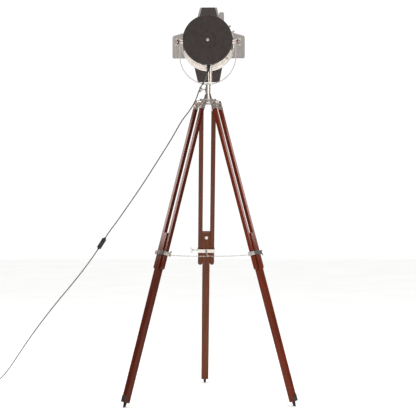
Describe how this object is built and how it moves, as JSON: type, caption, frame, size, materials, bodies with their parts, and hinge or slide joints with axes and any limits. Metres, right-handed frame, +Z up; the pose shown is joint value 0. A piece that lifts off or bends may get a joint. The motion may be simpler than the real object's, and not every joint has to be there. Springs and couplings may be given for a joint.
{
  "type": "tripod searchlight floor lamp",
  "caption": "Floor lamp: a drum spotlight with barn doors tilts in a yoke on a folding wooden tripod with sliding lower legs, spreader chain and an inline-switched lead.",
  "frame": {"origin": "centre of the standing lamp's footprint box, on the floor", "axes": "+Z up, +Y along the light beam (from the rear lid to the barn doors), +X to the right seen from behind"},
  "size_m": [1.4841, 0.6867, 1.6808],
  "materials": {
    "wood": "glossy lacquer",
    "polished_nickel": "polished",
    "satin_nickel": "satin",
    "black_satin": "satin",
    "mirror_reflector": "polished",
    "black_plastic": "satin",
    "brass": "polished",
    "dark_steel": "satin",
    "rubber": "matte",
    "cord_sheath": "satin"
  },
  "bodies": {
    "root": {"hub_casting": "polished_nickel", "stem_socket": "polished_nickel", "spreader_ring": "polished_nickel", "cord_upper": "cord_sheath", "switch_body": "black_plastic", "cord_lower": "cord_sheath", "cord_coil": "cord_sheath", "plug": "black_plastic"},
    "yoke": {"yoke_bracket": "polished_nickel", "yoke_spigot": "polished_nickel", "cord_tie": "black_plastic"},
    "head": {"tilt_studs": "polished_nickel", "drum": "polished_nickel", "rear_cover": "black_satin", "rear_nut": "polished_nickel", "shoulder_ring": "polished_nickel", "front_ring": "polished_nickel", "ring_fittings": "satin_nickel", "hinge_pins": "polished_nickel", "reflector": "mirror_reflector", "gland": "black_plastic", "cord_head": "cord_sheath"},
    "carriage": {"lamp_carriage": "polished_nickel", "lamp_holder": "black_plastic", "socket_shell": "brass"},
    "socket_screw": {"socket_screw": "polished_nickel"},
    "tilt_nut_left": {"tilt_nut_left": "polished_nickel"},
    "tilt_nut_right": {"tilt_nut_right": "polished_nickel"},
    "switch_rocker": {"switch_rocker": "black_plastic"},
    "door_top": {"door_top": "black_satin"},
    "door_right": {"door_right": "satin_nickel"},
    "door_bottom": {"door_bottom": "black_satin"},
    "door_left": {"door_left": "satin_nickel"},
    "leg_1": {"leg_1_caps": "polished_nickel", "leg_1_rails": "wood", "leg_1_clamp": "polished_nickel", "leg_1_chain": "polished_nickel"},
    "leg_1_lower": {"leg_1_lower_leg": "wood", "leg_1_stop_bolt": "polished_nickel", "leg_1_foot_plate": "dark_steel", "leg_1_foot_tip": "rubber"},
    "leg_1_clamp_screw": {"leg_1_clamp_screw": "polished_nickel"},
    "leg_2": {"leg_2_caps": "polished_nickel", "leg_2_rails": "wood", "leg_2_clamp": "polished_nickel", "leg_2_chain": "polished_nickel"},
    "leg_2_lower": {"leg_2_lower_leg": "wood", "leg_2_stop_bolt": "polished_nickel", "leg_2_foot_plate": "dark_steel", "leg_2_foot_tip": "rubber"},
    "leg_2_clamp_screw": {"leg_2_clamp_screw": "polished_nickel"},
    "leg_3": {"leg_3_caps": "polished_nickel", "leg_3_rails": "wood", "leg_3_clamp": "polished_nickel", "leg_3_chain": "polished_nickel"},
    "leg_3_lower": {"leg_3_lower_leg": "wood", "leg_3_stop_bolt": "polished_nickel", "leg_3_foot_plate": "dark_steel", "leg_3_foot_tip": "rubber"},
    "leg_3_clamp_screw": {"leg_3_clamp_screw": "polished_nickel"}
  },
  "joints": [
    {"name": "yoke_yaw", "type": "hinge", "parent": "root", "child": "yoke", "pos_m": [-0.01089, -0.085, 1.3], "axis": [0, 0, 1], "range_deg": [-90, 90], "deforming": ["cord_upper"]},
    {"name": "head_tilt", "type": "hinge", "parent": "yoke", "child": "head", "pos_m": [-0.01089, -0.085, 1.5095], "axis": [1, 0, 0], "range_deg": [-30, 45], "deforming": ["cord_head"]},
    {"name": "door_top_hinge", "type": "hinge", "parent": "head", "child": "door_top", "pos_m": [-0.01089, -0.0035, 1.5935], "axis": [1, 0, 0], "range_deg": [-78.5, 29.5]},
    {"name": "door_right_hinge", "type": "hinge", "parent": "head", "child": "door_right", "pos_m": [0.07311, -0.0035, 1.5095], "axis": [0, 0, -1], "range_deg": [-65.9, 42.1]},
    {"name": "door_bottom_hinge", "type": "hinge", "parent": "head", "child": "door_bottom", "pos_m": [-0.01089, -0.0035, 1.4255], "axis": [-1, 0, 0], "range_deg": [-61.1, 46.9]},
    {"name": "door_left_hinge", "type": "hinge", "parent": "head", "child": "door_left", "pos_m": [-0.09489, -0.0035, 1.5095], "axis": [0, 0, 1], "range_deg": [-65.9, 42.1]},
    {"name": "focus_slide", "type": "slide", "parent": "head", "child": "carriage", "axis": [0, 1, 0], "range_m": [-0.006, 0.006]},
    {"name": "tilt_nut_left_turn", "type": "hinge", "parent": "head", "child": "tilt_nut_left", "pos_m": [-0.13089, -0.085, 1.5095], "axis": [-1, 0, 0], "range_deg": [0, 360]},
    {"name": "tilt_nut_right_turn", "type": "hinge", "parent": "head", "child": "tilt_nut_right", "pos_m": [0.10911, -0.085, 1.5095], "axis": [1, 0, 0], "range_deg": [0, 360]},
    {"name": "socket_screw_turn", "type": "hinge", "parent": "root", "child": "socket_screw", "pos_m": [-0.03089, -0.085, 1.308], "axis": [-1, 0, 0], "range_deg": [0, 360]},
    {"name": "switch_rock", "type": "hinge", "parent": "root", "child": "switch_rocker", "pos_m": [-0.46063, -0.11099, 0.65462], "axis": [0.8432, 0, -0.5376], "range_deg": [-14, 0]},
    {"name": "leg_1_fold", "type": "hinge", "parent": "root", "child": "leg_1", "pos_m": [-0.01304, -0.04776, 1.254], "axis": [-0.9983, -0.0576, 0], "range_deg": [0, 16.1], "deforming": ["leg_1_chain"]},
    {"name": "leg_1_extend", "type": "slide", "parent": "leg_1", "child": "leg_1_lower", "axis": [0.016, -0.2769, 0.9608], "range_m": [-0.04, 0.5]},
    {"name": "leg_1_clamp_turn", "type": "hinge", "parent": "leg_1", "child": "leg_1_clamp_screw", "pos_m": [-0.07353, 0.13278, 0.61748], "axis": [-0.9983, -0.0576, 0], "range_deg": [0, 360]},
    {"name": "leg_2_fold", "type": "hinge", "parent": "root", "child": "leg_2", "pos_m": [-0.04207, -0.10548, 1.254], "axis": [0.549, -0.8358, 0], "range_deg": [0, 16.1], "deforming": ["leg_2_chain"]},
    {"name": "leg_2_extend", "type": "slide", "parent": "leg_2", "child": "leg_2_lower", "axis": [0.2318, 0.1523, 0.9608], "range_m": [-0.04, 0.5]},
    {"name": "leg_2_clamp_turn", "type": "hinge", "parent": "leg_2", "child": "leg_2_clamp_screw", "pos_m": [-0.16817, -0.24814, 0.61748], "axis": [0.549, -0.8358, 0], "range_deg": [0, 360]},
    {"name": "leg_3_fold", "type": "hinge", "parent": "root", "child": "leg_3", "pos_m": [0.02243, -0.10176, 1.254], "axis": [0.4493, 0.8934, 0], "range_deg": [0, 16.1], "deforming": ["leg_3_chain"]},
    {"name": "leg_3_extend", "type": "slide", "parent": "leg_3", "child": "leg_3_lower", "axis": [-0.2477, 0.1246, 0.9608], "range_m": [-0.04, 0.5]},
    {"name": "leg_3_clamp_turn", "type": "hinge", "parent": "leg_3", "child": "leg_3_clamp_screw", "pos_m": [0.20903, -0.13964, 0.61748], "axis": [0.4493, 0.8934, 0], "range_deg": [0, 360]}
  ]
}
